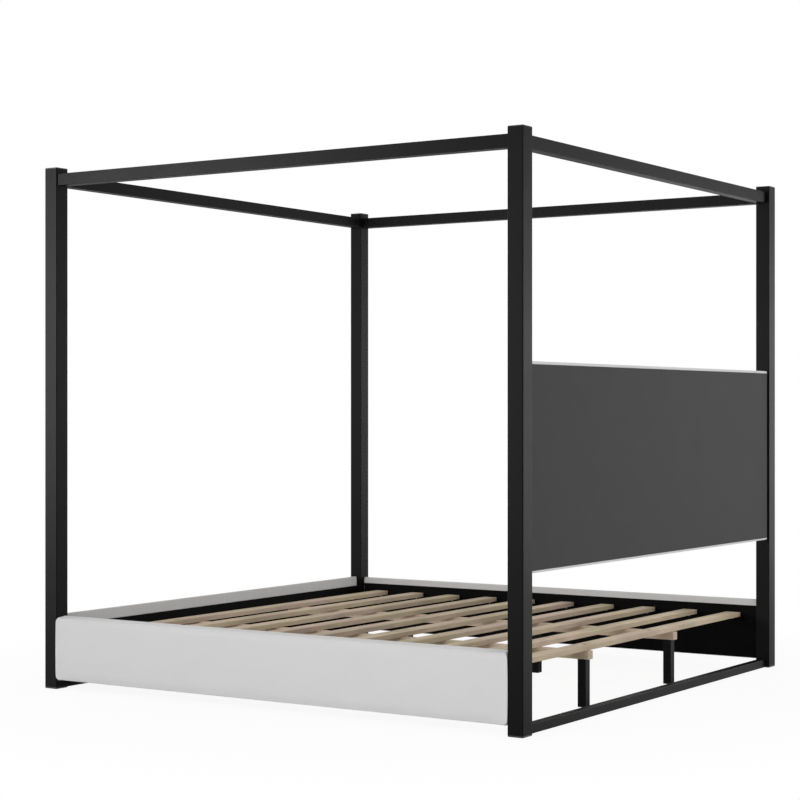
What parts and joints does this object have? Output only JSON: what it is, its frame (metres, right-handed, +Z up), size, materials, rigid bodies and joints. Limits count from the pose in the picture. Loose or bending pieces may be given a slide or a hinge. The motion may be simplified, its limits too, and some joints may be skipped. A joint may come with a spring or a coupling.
{
  "type": "four poster canopy bed",
  "caption": "Square-tube four poster bed with canopy rails, upholstered headboard, side and foot panels, and pine slats on beams with legs, to carry a king mattress.",
  "frame": {"origin": "on the floor, midway between the four posts", "axes": "+Z up, +Y from the foot towards the headboard, +X to the right as seen from the foot"},
  "size_m": [2.0196, 2.135, 1.98],
  "materials": {
    "black_steel": "matt black powder coat",
    "black_plastic": "moulded, matt",
    "pale_fabric": "pale grey woven upholstery",
    "back_cloth": "dark grey backing cloth",
    "black_lining": "black lining cloth",
    "pine": "planed pine, bare",
    "board": "plywood",
    "zinc_steel": "zinc plated"
  },
  "bodies": {
    "root": {"post_head_left": "black_steel", "post_head_right": "black_steel", "post_foot_left": "black_steel", "post_foot_right": "black_steel", "post_top_caps": "black_plastic", "post_foot_caps": "black_plastic", "canopy_rail_left": "black_steel", "canopy_rail_right": "black_steel", "canopy_rail_head": "black_steel", "canopy_rail_foot": "black_steel", "head_stretcher": "black_steel", "foot_stretcher": "black_steel", "rail_stubs": "black_steel", "rail_bolts": "black_steel", "side_panel_left_pad": "pale_fabric", "side_panel_left_board": "board", "side_panel_left_lining": "black_lining", "side_panel_right_pad": "pale_fabric", "side_panel_right_board": "board", "side_panel_right_lining": "black_lining", "foot_panel_pad": "pale_fabric", "foot_panel_board": "board", "foot_panel_lining": "black_lining", "panel_brackets": "black_steel", "panel_bolts": "black_steel", "headboard_pad": "pale_fabric", "headboard_board": "board", "headboard_back_cloth": "back_cloth", "headboard_hook_left": "black_steel", "headboard_hook_right": "black_steel", "headboard_screws": "zinc_steel", "ledger_left": "black_steel", "ledger_right": "black_steel", "ledger_screws": "black_steel", "slat_01": "pine", "slat_02": "pine", "slat_03": "pine", "slat_04": "pine", "slat_05": "pine", "slat_06": "pine", "slat_07": "pine", "slat_08": "pine", "slat_09": "pine", "slat_10": "pine", "slat_screws": "zinc_steel", "beam_left": "pine", "beam_right": "pine", "leg_left_1": "black_steel", "leg_left_2": "black_steel", "leg_left_3": "black_steel", "leg_left_4": "black_steel", "leg_right_1": "black_steel", "leg_right_2": "black_steel", "leg_right_3": "black_steel", "leg_right_4": "black_steel", "leg_studs": "zinc_steel", "leg_glides": "black_plastic"}
  },
  "joints": []
}
